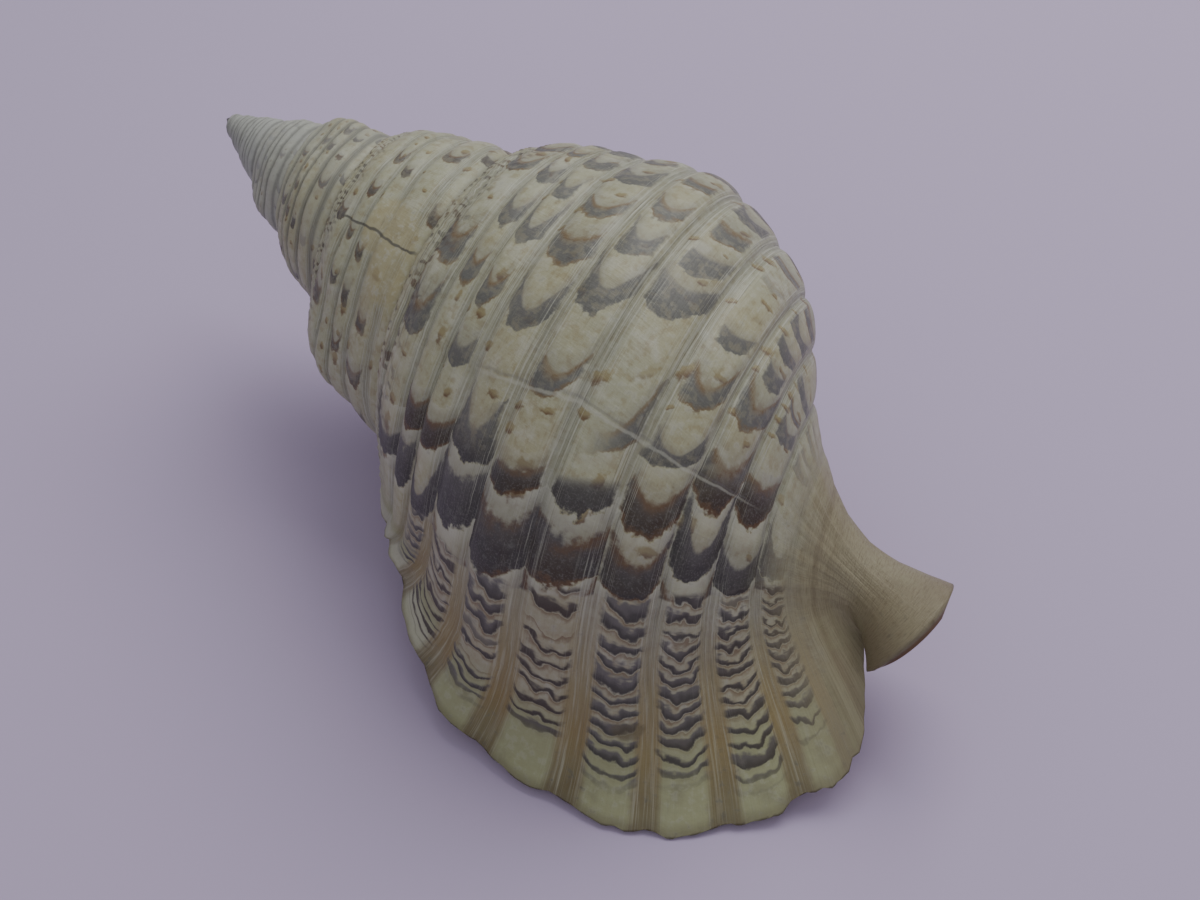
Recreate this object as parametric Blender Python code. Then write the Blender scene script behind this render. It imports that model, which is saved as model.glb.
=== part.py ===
"""A large sea snail's shell, the kind blown as a trumpet, lying on its lip.

One thin-walled solid. The outside winds from the pointed end at -X to the open
canal at +X. The inside is a real hollow that runs from the wide mouth, under
the shell, back through more than two turns. Sizes are in metres, angles in
radians. An angle of 0 is the lip; a place of 0 on the outline is the seam.
"""
import math

import bmesh
import bpy
import numpy as np

TURN = 2.0 * math.pi

# Every turn is this much longer than the one before, and a little slimmer.
GROWTH = 1.597
SLIMMING = 0.03
TURNS = 6.6

# Half outline of the last turn at the lip, as (radius, distance along the axis):
# seam, shoulder, upper bulge, lower bulge, next seam, base, neck, neck, canal end.
SEAM_R, SEAM_A = 0.0603, 0.1493
OUTLINE = np.array([
    (SEAM_R, SEAM_A), (0.0696, 0.1573), (0.0811, 0.1771), (0.0877, 0.1974),
    (SEAM_R * GROWTH ** (1.0 + SLIMMING), SEAM_A * GROWTH),
    (0.0767, 0.2816), (0.0317, 0.2982), (0.0125, 0.3077), (0.0196, 0.3254),
])
SEAM, JOINT, END = 4.0, 6.0, 8.0

# How far the lip spreads past that outline at the same nine places, and how quickly
# that fades back from the lip. The brim is a second spread, close to the edge.
FLARE = np.array([
    (0.0, 0.0), (0.0003, -0.0075), (0.0005, -0.0150), (0.0010, -0.0205), (0.0144, -0.0125),
    (0.0202, 0.0087), (0.0097, 0.0290), (0.0005, 0.0105), (0.0, 0.0),
])
FLARE_ANGLE = 0.299
BRIM = np.array([
    (0.0, 0.0), (0.0020, -0.0005), (0.0028, -0.0008), (0.0045, -0.0012), (0.0098, 0.0012),
    (0.0114, 0.0075), (0.0073, 0.0101), (0.0, 0.0), (0.0, 0.0),
])
BRIM_ANGLE = 0.135

# How far each place of the lip runs on or back, and where the lip is round the axis.
LIP_SWEEP = np.array([[0.0, -0.024, -0.059, -0.112, -0.118, -0.120, 0.042, 0.069, 0.0]]).T
LIP_AZIMUTH = 1.902

# The canal is an open gutter: this share of a turn is its slit. Its end is cut aslant,
# and from this share of the length on it curves up and aside.
SLIT_SHARE = 0.198
CANAL_SLANT = 0.40
CANAL_RISE = 0.002
CANAL_SIDE = -0.009
BEND_START = 0.72

# Thickened old lips, seen as swellings across the turns of the spire.
OLD_LIP_HEIGHT = 0.0100
OLD_LIP_AT = -6.58
OLD_LIP_WIDTH = 0.28
OLD_LIP_SPACING = 4.19
OLD_LIPS = 4

# Broad spiral cords: how many lie between the seam and each outline place. Their height
# goes with this power of the turn's size and is flatter at the lip. They rise from the
# seam, and fade out towards the neck and where the turn before is covered.
CORD_COUNT = np.array([[0.0, 0.90, 2.10, 3.76, 5.66, 7.91, 10.69, 13.8, 16.9]]).T
CORD_HEIGHT = 0.0022
CORD_POWER = 0.5
CORD_FLATTER = 0.55
CORD_FLAT_ANGLE = 0.16
CORD_RISE = 0.4
CORD_FADE_FROM = 5.2
CORD_FADE_OVER = 1.6
COVERED_FADE = 0.5
COVERED_ANGLE = 1.0

# Corrugation of the spread lip, and where it starts and ends on the outline.
LIP_CORD_HEIGHT = 0.0012
LIP_WAVE_START = 1.2
LIP_WAVE_RISE = 1.6
LIP_WAVE_END = 6.6
LIP_WAVE_FADE = 1.2

# Walls, thinner in the earlier turns by this power of their size.
WALL = 0.0045
LIP_WALL = 0.0028
WALL_POWER = 0.7
WALL_RISE = 0.5

# The hollow: its length, the far side of the canal and the waist of the pillar.
HOLLOW_TURNS = 2.3
HOLLOW_END = (0.35, 0.75, 1.0)
GUTTER_ANGLE = math.radians(150.0)
GUTTER_DEPTH = 0.0045
GUTTER_RISE = 1.2
PILLAR_WAIST = 0.010
PILLAR_ANGLE = 0.8
CORNER = 0.14
CORNER_ANGLE = 0.35
BORE_OUTER, BORE_INNER = 2.5, 4.8

# Rows and columns of the mesh.
ROWS_PER_TURN = 24
LIP_ROWS = np.radians([3.5, 8.5, 22.5])
FINE_INSIDE = math.radians(20.0)
SPIRE_COLUMNS = (20, 14, 10, 8, 5, 4)
INNER_PLACES = np.array([0.5, 0.9, 1.3, 1.7, 2.1, 2.5, 2.9, 3.3, 3.7, 4.1, 4.6, 5.1, 5.6, JOINT])
CANAL_PLACES = np.linspace(JOINT, END, 5)
PARIETAL_PLACES = np.linspace(SEAM, JOINT, 6)
PILLAR_STEPS = np.linspace(0.0, 1.0, 6)
PER_CORD = 4
NECK_PLACES = np.array([6.5, 6.8, 7.1, 7.4, 7.7])
CLOSEST = 0.07
FIRST_INSIDE = 0.3
STEP = 0.04
TIP_LENGTH = 0.0022
WELD = 2e-6
SHARP = math.radians(55.0)

# The attitude it rests in.
REST_PITCH = 0.1679
REST_ROLL = 0.1974

LIME = (0.38, 0.365, 0.27, 1.0)
LIME_ROUGHNESS = 0.5


def along(points, t):
    """Smooth curve through the points; t = 0, 1, 2 ... meets each in turn."""
    ends = np.vstack([2 * points[0] - points[1], points, 2 * points[-1] - points[-2]])
    i = np.clip(np.floor(t).astype(int), 0, len(points) - 2)
    f = (t - i)[..., None]
    a, b, c, d = ends[i], ends[i + 1], ends[i + 2], ends[i + 3]
    return 0.5 * (2 * b + (c - a) * f + (2 * a - 5 * b + 4 * c - d) * f**2
                  + (3 * b - a - 3 * c + d) * f**3)


def ease(x):
    """0 to 1 with soft ends."""
    x = np.clip(x, 0.0, 1.0)
    return x * x * (3.0 - 2.0 * x)


def size_at(theta):
    """How large the turn is at this angle, against 1 at the lip."""
    return GROWTH ** (theta / TURN)


def spread_lip(theta, v):
    """What the flare and the brim add, as (radius, distance along the axis)."""
    flare = np.exp(theta / FLARE_ANGLE)[..., None] * along(FLARE, v)
    return flare + np.exp(theta / BRIM_ANGLE)[..., None] * along(BRIM, v)


def old_lips(theta, v):
    """Height of the swellings that the earlier lips left on the turns of the spire."""
    swell = sum(np.exp(-((theta - OLD_LIP_AT + k * OLD_LIP_SPACING) / OLD_LIP_WIDTH) ** 2)
                for k in range(OLD_LIPS))
    return OLD_LIP_HEIGHT * size_at(theta) * swell * np.sin(math.pi * np.clip(v / SEAM, 0.0, 1.0))


def plain(theta, v):
    """Radius, distance along the axis and azimuth of the outside without relief.

    Up to the seam the outline just grows with the angle. Past the seam it fades
    into the canal, which keeps its size and goes only part of the way round.
    """
    theta, v = np.broadcast_arrays(np.asarray(theta, float), np.asarray(v, float))
    outline, spread = along(OUTLINE, v), spread_lip(theta, v)
    settled = ease((v - SEAM) / (END - SEAM))
    earlier = np.minimum(theta + TURN, 0.0)
    latest = np.maximum(theta, -TURN)
    power = (latest * (1.0 - settled) + earlier) / TURN
    radius = GROWTH ** (power * (1.0 + SLIMMING)) * outline[..., 0] + spread[..., 0]
    radius = radius + old_lips(theta, v)
    axial = GROWTH ** power * outline[..., 1] + spread[..., 1]
    azimuth = LIP_AZIMUTH + latest * (1.0 - SLIT_SHARE * settled) + earlier
    azimuth = azimuth + np.exp(theta / FLARE_ANGLE) * along(LIP_SWEEP, v)[..., 0]
    slant = CANAL_SLANT * ease((v - JOINT) / (END - JOINT))
    return radius, axial + slant * radius * np.cos(azimuth), azimuth


def outward(theta, v):
    """Direction out of the wall in the half plane, as (radial, axial)."""
    low, high = np.clip(v - STEP, 0.0, END), np.clip(v + STEP, 0.0, END)
    r0, a0, _ = plain(theta, low)
    r1, a1, _ = plain(theta, high)
    dr, da = r1 - r0, a1 - a0
    length = np.hypot(dr, da)
    return da / length, -dr / length


def cords(theta, v):
    """Height of the broad cords above the plain outside."""
    wave = 0.5 - 0.5 * np.cos(TURN * along(CORD_COUNT, v)[..., 0])
    spire = ease((SEAM - v) / COVERED_FADE)
    opened = ease((theta + TURN) / COVERED_ANGLE)
    keep = ease(v / CORD_RISE) * (spire + (1.0 - spire) * opened)
    neck = 1.0 - ease((v - CORD_FADE_FROM) / CORD_FADE_OVER)
    flat = 1.0 - CORD_FLATTER * np.exp(theta / CORD_FLAT_ANGLE)
    return CORD_HEIGHT * size_at(theta) ** CORD_POWER * wave * keep * neck * flat


def lip_waves(theta, v):
    """Corrugation of the spread lip, shared by its two faces."""
    wave = -np.cos(TURN * along(CORD_COUNT, v)[..., 0])
    reach = ease((v - LIP_WAVE_START) / LIP_WAVE_RISE) * ease((LIP_WAVE_END - v) / LIP_WAVE_FADE)
    return 0.5 * LIP_CORD_HEIGHT * wave * reach * np.exp(theta / FLARE_ANGLE)


def at(radius, axial, azimuth):
    """Point from radius, distance along the axis and azimuth."""
    return np.stack([axial, -radius * np.sin(azimuth), radius * np.cos(azimuth)], axis=-1)


def outside(theta, v):
    """Point on the outer skin."""
    theta, v = np.broadcast_arrays(np.asarray(theta, float), np.asarray(v, float))
    radius, axial, azimuth = plain(theta, v)
    out_r, out_a = outward(theta, v)
    height = cords(theta, v) + lip_waves(theta, v)
    return at(radius + height * out_r, axial + height * out_a, azimuth)


def inside(theta, v):
    """Point on the inner skin: the outer skin moved in by the wall."""
    theta, v = np.broadcast_arrays(np.asarray(theta, float), np.asarray(v, float))
    radius, axial, azimuth = plain(theta, v)
    out_r, out_a = outward(theta, v)
    fade = np.exp(theta / FLARE_ANGLE)
    wall = (WALL + (LIP_WALL - WALL) * fade) * size_at(theta) ** WALL_POWER
    depth = lip_waves(theta, v) - wall * ease(v / WALL_RISE)
    return at(radius + depth * out_r, axial + depth * out_a, azimuth)


def corner(theta):
    """Where the hollow meets the turn before it, just under the seam."""
    return outside(theta - TURN, SEAM + CORNER * ease(-theta / CORNER_ANGLE))


def gutter(theta, v):
    """Far side of the open canal: from its free edge round to its floor."""
    edge = outside(-TURN, v)
    floor = inside(-GUTTER_ANGLE, v)
    share = np.clip(-theta / GUTTER_ANGLE, 0.0, 1.0)
    side = at(1.0, 0.0, LIP_AZIMUTH + GUTTER_ANGLE)
    bow = GUTTER_DEPTH * 4.0 * share * (1.0 - share) * ease((v - JOINT) / GUTTER_RISE)
    return edge + (floor - edge) * share + side * np.expand_dims(bow, -1)


def pillar(theta, t):
    """The central pillar, between the turn before and the foot of this turn."""
    start = outside(theta - TURN, JOINT)
    foot = gutter(theta, JOINT) if theta > -GUTTER_ANGLE else inside(theta, JOINT)
    t = np.asarray(t, float)[:, None]
    line = start + (foot - start) * t
    pull = np.array([0.0, 1.0, 1.0]) * 4.0 * t * (1.0 - t)
    reach = np.linalg.norm((line * [0.0, 1.0, 1.0]), axis=1, keepdims=True)
    opened = ease(np.array(-theta / PILLAR_ANGLE))
    waist = PILLAR_WAIST * size_at(theta)
    return line - line * pull * opened * np.clip(1.0 - waist / reach, 0.0, 1.0)


class Skin:
    """Collects rows of points and the faces between them."""

    def __init__(self):
        self.points = []
        self.faces = []

    def row(self, points):
        """Add a row of points and return their numbers."""
        start = len(self.points)
        self.points.extend(map(tuple, np.asarray(points, float)))
        return list(range(start, len(self.points)))

    def strip(self, first, second, t_first, t_second):
        """Fill between two rows whose points may differ in number."""
        i = j = 0
        while i < len(first) - 1 or j < len(second) - 1:
            more_i, more_j = i < len(first) - 1, j < len(second) - 1
            if more_i and more_j and abs(t_first[i + 1] - t_second[j + 1]) < 1e-9:
                self.faces.append((first[i], first[i + 1], second[j + 1]))
                self.faces.append((first[i], second[j + 1], second[j]))
                i, j = i + 1, j + 1
            elif more_i and (not more_j or t_first[i + 1] < t_second[j + 1]):
                self.faces.append((first[i], first[i + 1], second[j]))
                i += 1
            else:
                self.faces.append((first[i], second[j + 1], second[j]))
                j += 1

    def sheet(self, rows):
        """Fill between neighbouring rows, each given as (points, spacing)."""
        numbered = [(self.row(points), list(spacing)) for points, spacing in rows]
        for (a, ta), (b, tb) in zip(numbered, numbered[1:]):
            self.strip(a, b, ta, tb)


def body_places():
    """Outline places of the last turn's columns: some to each cord, then the neck's."""
    fine = np.linspace(0.0, END, 800)
    count = along(CORD_COUNT, fine)[:, 0]
    wanted = np.arange(0.0, np.interp(NECK_PLACES[0], fine, count) - 0.5, 1.0 / PER_CORD)
    places = np.concatenate([np.interp(wanted, count, fine), NECK_PLACES])
    fixed = (0.0, SEAM, JOINT, END)
    kept = [p for p in places if min(abs(p - f) for f in fixed) > CLOSEST]
    return np.array(sorted(kept + list(fixed)))


def row_angles(turns, extra):
    """Row angles from the lip back, with the extra ones near every lip place."""
    steps = np.concatenate([np.arange(ROWS_PER_TURN) * TURN / ROWS_PER_TURN, extra])
    steps = np.sort(steps)
    whole = np.concatenate([steps + TURN * k for k in range(int(turns) + 1)])
    return -whole[whole <= turns * TURN + 1e-9]


def build_outside(skin, columns_v):
    """The skin that shows: the last turn to the canal, then the turns of the spire."""
    rows = row_angles(TURNS, LIP_ROWS)
    body = [t for t in rows if t >= -TURN - 1e-9]
    skin.sheet([(outside(t, columns_v), columns_v) for t in body])
    places = columns_v[columns_v <= SEAM]
    for turn, columns in enumerate(SPIRE_COLUMNS, start=1):
        high, low = -TURN * turn, -TURN * (turn + 1)
        sheet = [(outside(high, places), places)]
        places = np.linspace(0.0, SEAM, columns + 1)
        sheet += [(outside(t, places), places) for t in rows if low - 1e-9 <= t < high - 1e-9]
        skin.sheet(sheet)
    tip = outside(rows[-1], places)
    seam = [outside(t, 0.0) for t in rows if t < rows[-1] + TURN - 1e-9]
    loop = skin.row(np.vstack([tip[::-1], seam[:-1][::-1]]))
    point = skin.row([[tip[0, 0] - TIP_LENGTH, 0.0, 0.0]])[0]
    skin.faces.extend((a, b, point) for a, b in zip(loop, loop[1:] + loop[:1]))


def build_rim(skin, columns_v, lip_places, canal_rows):
    """The edge of the shell: along the lip, then round the end of the canal."""
    inner = np.vstack([outside(0.0, [0.0]), inside(0.0, lip_places[1:])])
    skin.sheet([(outside(0.0, columns_v), columns_v), (inner, lip_places)])
    rows = row_angles(1.0, LIP_ROWS)
    ring = np.array([outside(t, END) for t in rows])
    bore = [inside(t, END) for t in canal_rows] + [gutter(t, END) for t in canal_rows[-2::-1]]
    skin.sheet([(ring, np.linspace(0.0, 1.0, len(ring))),
                (np.array(bore), np.linspace(0.0, 1.0, len(bore)))])


def build_inside(skin, columns_v):
    """The hollow: mouth, canal floor, pillar and the winding bore up to its end."""
    rows = row_angles(HOLLOW_TURNS, LIP_ROWS[:2])
    rows = rows[(rows > -TURN + 1e-9) | (np.abs(np.sin(rows * ROWS_PER_TURN / 2)) < 1e-6)]
    fine = columns_v[(columns_v > FIRST_INSIDE) & (columns_v <= JOINT)]
    step = TURN / ROWS_PER_TURN
    ends = [(rows[-1] - step * (k + 1), share) for k, share in enumerate(HOLLOW_END)]
    canal_rows = [t for t in rows if t >= -GUTTER_ANGLE - 1e-9]
    outer, parietal, core = [], [], []
    for t, share in [(t, 0.0) for t in rows] + ends:
        places = fine if t > -FINE_INSIDE else INNER_PLACES
        first = columns_v[(columns_v >= SEAM) & (columns_v <= JOINT)]
        arc = first if t == 0.0 else PARIETAL_PLACES
        lift = CORNER * ease(-t / CORNER_ANGLE) * (JOINT - arc) / (JOINT - SEAM)
        centre = 0.5 * (inside(t, BORE_OUTER) + outside(t - TURN, BORE_INNER))
        shells = (np.vstack([[corner(t)], inside(t, places)]), outside(t - TURN, arc + lift),
                  pillar(t, PILLAR_STEPS))
        outer_arc, wall_arc, core_arc = [p + (centre - p) * share for p in shells]
        outer.append((outer_arc, np.append(0.0, places)))
        parietal.append((wall_arc, arc))
        core.append((core_arc, PILLAR_STEPS))
    skin.sheet(outer)
    skin.sheet(parietal)
    skin.sheet(core)
    skin.sheet([(inside(t, CANAL_PLACES), CANAL_PLACES) for t in canal_rows])
    edge = columns_v[columns_v >= JOINT]
    floor = [(gutter(0.0, edge), edge)]
    skin.sheet(floor + [(gutter(t, CANAL_PLACES), CANAL_PLACES) for t in canal_rows[1:]])
    return np.concatenate([[0.0], fine, CANAL_PLACES[1:]]), canal_rows


def bend(points):
    """Curve the canal up and aside."""
    share = np.clip((points[:, 0] / OUTLINE[-1, 1] - BEND_START) / (1.0 - BEND_START), 0.0, 2.0)
    return points + np.outer(share**2, [0.0, CANAL_SIDE, CANAL_RISE])


def settle(points):
    """Turn to the attitude of rest and put the middle of the footprint at the origin."""
    c, s = math.cos(REST_ROLL), math.sin(REST_ROLL)
    roll = np.array([[1.0, 0.0, 0.0], [0.0, c, -s], [0.0, s, c]])
    c, s = math.cos(REST_PITCH), math.sin(REST_PITCH)
    pitch = np.array([[c, 0.0, s], [0.0, 1.0, 0.0], [-s, 0.0, c]])
    points = points @ (pitch @ roll).T
    low, high = points.min(axis=0), points.max(axis=0)
    return points - [(low[0] + high[0]) / 2, (low[1] + high[1]) / 2, low[2]]


def main():
    """Build the shell as one closed mesh."""
    for leftover in list(bpy.data.objects):
        bpy.data.objects.remove(leftover, do_unlink=True)
    skin = Skin()
    columns_v = body_places()
    build_outside(skin, columns_v)
    lip_places, canal_rows = build_inside(skin, columns_v)
    build_rim(skin, columns_v, lip_places, canal_rows)
    points = settle(bend(np.array(skin.points)))

    mesh = bpy.data.meshes.new("shell")
    mesh.from_pydata(points.tolist(), [], skin.faces)
    body = bmesh.new()
    body.from_mesh(mesh)
    bmesh.ops.remove_doubles(body, verts=body.verts, dist=WELD)
    bmesh.ops.dissolve_degenerate(body, edges=body.edges, dist=WELD)
    bmesh.ops.recalc_face_normals(body, faces=body.faces)
    body.to_mesh(mesh)
    body.free()
    mesh.shade_smooth()
    mesh.set_sharp_from_angle(angle=SHARP)

    shell = bpy.data.objects.new("shell", mesh)
    bpy.context.scene.collection.objects.link(shell)
    lime = bpy.data.materials.new("shell_lime")
    lime.use_nodes = True
    surface = lime.node_tree.nodes["Principled BSDF"]
    surface.inputs["Base Color"].default_value = LIME
    surface.inputs["Roughness"].default_value = LIME_ROUGHNESS
    mesh.materials.append(lime)


main()
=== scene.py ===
"""The looks of a large triton shell that lies on its lip.

The shell is one skin worked out on grids: the outside of the last turn, the turns of the
spire, the rim of the lip and the hollow behind the mouth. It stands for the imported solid,
follows the same outline and adds the fine relief. Its markings are worked out in the material
from two maps that the skin carries: where a point lies along the coil and across the cords.
Sizes are in metres.

The skin isn't closed: it is open along the spiral seam, because the fine relief of a turn
doesn't fade out where the next turn starts. The gap is 0.2 mm on average and 1.5 mm at most.
"""
import math

import bmesh
import bpy
import numpy as np
from mathutils import Matrix, Vector


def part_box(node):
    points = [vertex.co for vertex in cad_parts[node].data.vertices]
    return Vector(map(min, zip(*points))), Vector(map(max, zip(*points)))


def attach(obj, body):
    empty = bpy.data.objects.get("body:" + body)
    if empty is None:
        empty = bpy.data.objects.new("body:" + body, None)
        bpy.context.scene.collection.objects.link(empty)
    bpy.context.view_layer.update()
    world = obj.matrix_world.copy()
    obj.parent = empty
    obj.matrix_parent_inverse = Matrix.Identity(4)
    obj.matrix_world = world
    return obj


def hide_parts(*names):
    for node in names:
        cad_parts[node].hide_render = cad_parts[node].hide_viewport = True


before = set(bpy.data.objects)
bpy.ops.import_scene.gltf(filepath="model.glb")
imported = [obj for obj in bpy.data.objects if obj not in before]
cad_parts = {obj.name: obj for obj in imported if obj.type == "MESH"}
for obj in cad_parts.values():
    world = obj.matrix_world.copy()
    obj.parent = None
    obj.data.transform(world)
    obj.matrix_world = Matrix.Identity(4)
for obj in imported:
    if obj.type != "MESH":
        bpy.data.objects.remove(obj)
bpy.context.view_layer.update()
TURN = 2.0 * math.pi

# The outline of the shell, with the values of its solid.
GROWTH = 1.597
SLIMMING = 0.03
TURNS = 6.6
SEAM_R, SEAM_A = 0.0603, 0.1493
OUTLINE = np.array([
    (SEAM_R, SEAM_A), (0.0696, 0.1573), (0.0811, 0.1771), (0.0877, 0.1974),
    (SEAM_R * GROWTH ** (1.0 + SLIMMING), SEAM_A * GROWTH),
    (0.0767, 0.2816), (0.0317, 0.2982), (0.0125, 0.3077), (0.0196, 0.3254),
])
SEAM, JOINT, END = 4.0, 6.0, 8.0
FLARE = np.array([
    (0.0, 0.0), (0.0003, -0.0075), (0.0005, -0.0150), (0.0010, -0.0205), (0.0144, -0.0125),
    (0.0202, 0.0087), (0.0097, 0.0290), (0.0005, 0.0105), (0.0, 0.0),
])
FLARE_ANGLE = 0.299
BRIM = np.array([
    (0.0, 0.0), (0.0020, -0.0005), (0.0028, -0.0008), (0.0045, -0.0012), (0.0098, 0.0012),
    (0.0114, 0.0075), (0.0073, 0.0101), (0.0, 0.0), (0.0, 0.0),
])
BRIM_ANGLE = 0.135
LIP_SWEEP = np.array([[0.0, -0.024, -0.059, -0.112, -0.118, -0.120, 0.042, 0.069, 0.0]]).T
LIP_AZIMUTH = 1.902
SLIT_SHARE = 0.198
CANAL_SLANT = 0.40
CANAL_RISE = 0.002
CANAL_SIDE = -0.009
BEND_START = 0.72
OLD_LIP_HEIGHT = 0.0100
OLD_LIP_AT = -6.58
OLD_LIP_WIDTH = 0.28
OLD_LIP_SPACING = 4.19
OLD_LIPS = 4
CORD_COUNT = np.array([[0.0, 0.90, 2.10, 3.76, 5.66, 7.91, 10.69, 13.8, 16.9]]).T
CORD_HEIGHT = 0.0022
CORD_POWER = 0.5
CORD_FLATTER = 0.55
CORD_FLAT_ANGLE = 0.16
LIP_CORD_HEIGHT = 0.0012
WALL = 0.0045
LIP_WALL = 0.0028
HOLLOW_TURNS = 2.3
HOLLOW_FAR, HOLLOW_BACK = 2.5, 4.8
GUTTER_ANGLE = math.radians(150.0)
GUTTER_DEPTH = 0.0045
PILLAR_WAIST = 0.010
CORNER = 0.14
TIP_LENGTH = 0.0022
REST_PITCH = 0.1679
REST_ROLL = 0.1974
WALL_POWER = 0.7
WELD = 2e-6

# Fine relief of the skin.
SCAR = np.array([-1.15, -1.15, -1.17, -1.20, -1.33, -1.41, -1.55, -1.60, -1.60])
SCAR_STEP = 0.0007
GROWTH_FOLDS = 0.00028
BEAD_HEIGHT = 0.0006
BEAD_ANGLE = 0.062
BEAD_ROW = 0.26
THREAD_HEIGHT = 0.00022
THREAD_SPACING = 0.085
TOOTH_HEIGHT = 0.0016
TOOTH_AT = 0.25
PARIETAL_FOLDS = 0.0007
PILLAR_FOLDS = 0.0005
LUMPS = 0.0005
EDGE_CHIPS = 0.014

# Where each band of markings crosses the outline places, from the top of the last turn
# to its lip, and how far apart the bands are on the turns before.
BANDS = np.array([
    (-3.05, -3.05, -3.00, -2.95, -3.00, -3.35, -3.60, -3.80, -4.00),
    (-2.75, -2.75, -2.70, -2.65, -2.70, -3.03, -3.30, -3.50, -3.70),
    (-2.45, -2.45, -2.40, -2.35, -2.42, -2.74, -3.03, -3.23, -3.43),
    (-2.15, -2.15, -2.12, -2.08, -2.15, -2.48, -2.80, -3.00, -3.20),
    (-1.85, -1.85, -1.83, -1.81, -1.92, -2.27, -2.60, -2.80, -3.00),
    (-1.52, -1.52, -1.52, -1.54, -1.70, -2.06, -2.42, -2.62, -2.82),
    (-1.15, -1.15, -1.18, -1.24, -1.35, -1.80, -2.24, -2.44, -2.64),
    (-1.02, -1.02, -1.02, -1.05, -1.14, -1.50, -2.02, -2.22, -2.42),
    (-0.80, -0.80, -0.80, -0.82, -0.95, -1.12, -1.55, -1.80, -2.00),
    (-0.50, -0.50, -0.50, -0.50, -0.63, -0.85, -0.94, -1.05, -1.10),
])
BAND_SPACING = 0.33

# Grid sizes: rows in a turn, columns of the last turn's three stretches and of each spire turn.
ROWS = 200
FINE_ROWS = (0.004, 0.011, 0.021)
BODY_COLUMNS = (80, 88, 30)
SPIRE_COLUMNS = (64, 46, 32, 22, 16, 12)
INNER_COLUMNS = 84
PARIETAL_COLUMNS = 26
PILLAR_COLUMNS = 14
RIM_ROWS = 6
TEETH_ANGLE = 0.42
TEETH_ROWS = 22
NEAR_ROWS = 72
DEEP_ROWS = 36

# Where each grid lies on the bake map: low x, low y, high x, high y.
BAKE_BODY = (0.002, 0.002, 0.998, 0.440)
BAKE_SPIRE = (
    (0.002, 0.446, 0.700, 0.640), (0.002, 0.646, 0.480, 0.770), (0.002, 0.776, 0.330, 0.860),
    (0.002, 0.866, 0.230, 0.920), (0.002, 0.926, 0.160, 0.960), (0.002, 0.966, 0.110, 0.985),
)
BAKE_SEAM = (0.230, 0.966, 0.236, 0.985)
BAKE_NUB = (0.231, 0.966, 0.236, 0.985)
BAKE_HOLLOW = (0.502, 0.776, 0.998, 0.998)
BAKE_PARIETAL = (0.502, 0.700, 0.998, 0.770)
BAKE_PILLAR = (0.240, 0.870, 0.495, 0.990)
BAKE_CANAL = (0.720, 0.570, 0.998, 0.690)
BAKE_GUTTER = (0.720, 0.450, 0.998, 0.560)
BAKE_RIM = (0.172, 0.926, 0.235, 0.960)

# The camera in the shell's own frame before it is laid down: direction to the camera as turn
# and height, roll, distance and the point it looks at.
CAMERA_TURN = 0.720
CAMERA_HEIGHT = 1.023
CAMERA_ROLL = -0.0183
CAMERA_DISTANCE = 0.64088
CAMERA_TARGET = (0.206749, -0.017877, -0.001783)
LENS_MM = 57.08
SENSOR_MM = 36.0

# Light, surface and surroundings: lamps by name, size, power and place.
LAMPS = (
    ("window", 1.3, 16.0, (-0.05, 0.85, 1.35)),
    ("fill", 1.4, 2.5, (0.7, -1.0, 1.2)),
)
LAMP_TARGET = (0.0, 0.0, 0.05)
FLOOR_HALF = 3.0
FLOOR_COLOUR = (0.54, 0.45, 0.64, 1.0)
FLOOR_ROUGHNESS = 0.9
WORLD_COLOUR = (0.95, 0.95, 1.0, 1.0)
WORLD_STRENGTH = 0.38


def along(points, t):
    """Smooth curve through the points; t = 0, 1, 2 ... meets each in turn."""
    ends = np.vstack([2 * points[0] - points[1], points, 2 * points[-1] - points[-2]])
    i = np.clip(np.floor(t).astype(int), 0, len(points) - 2)
    f = (t - i)[..., None]
    a, b, c, d = ends[i], ends[i + 1], ends[i + 2], ends[i + 3]
    return 0.5 * (2 * b + (c - a) * f + (2 * a - 5 * b + 4 * c - d) * f**2
                  + (3 * b - a - 3 * c + d) * f**3)


def ease(x):
    """0 to 1 with soft ends."""
    x = np.clip(x, 0.0, 1.0)
    return x * x * (3.0 - 2.0 * x)


def size_at(theta):
    """How large the turn is at this angle, against 1 at the lip."""
    return GROWTH ** (theta / TURN)


def cord_number(v):
    """Cords counted from the seam; whole numbers are the grooves between them."""
    return along(CORD_COUNT, v)[..., 0]


def ripple(coordinates, scales, seed):
    """Smooth waves of mean 0 and about unit height: a sum of sines in fixed odd directions."""
    pick = np.random.default_rng(seed)
    total = 0.0
    for _ in range(7):
        push = pick.normal(size=len(coordinates)) * scales
        phase = sum(p * x for p, x in zip(push, coordinates))
        total = total + np.sin(phase + pick.uniform(0, TURN))
    return total / 2.65


def spread_lip(theta, v):
    """What the flare and the brim add, as (radius, distance along the axis)."""
    flare = np.exp(theta / FLARE_ANGLE)[..., None] * along(FLARE, v)
    return flare + np.exp(theta / BRIM_ANGLE)[..., None] * along(BRIM, v)


def old_lips(theta, v):
    """Height of the swellings that the earlier lips left on the turns of the spire."""
    swell = sum(np.exp(-((theta - OLD_LIP_AT + k * OLD_LIP_SPACING) / OLD_LIP_WIDTH) ** 2)
                for k in range(OLD_LIPS))
    return OLD_LIP_HEIGHT * size_at(theta) * swell * np.sin(math.pi * np.clip(v / SEAM, 0.0, 1.0))


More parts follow.
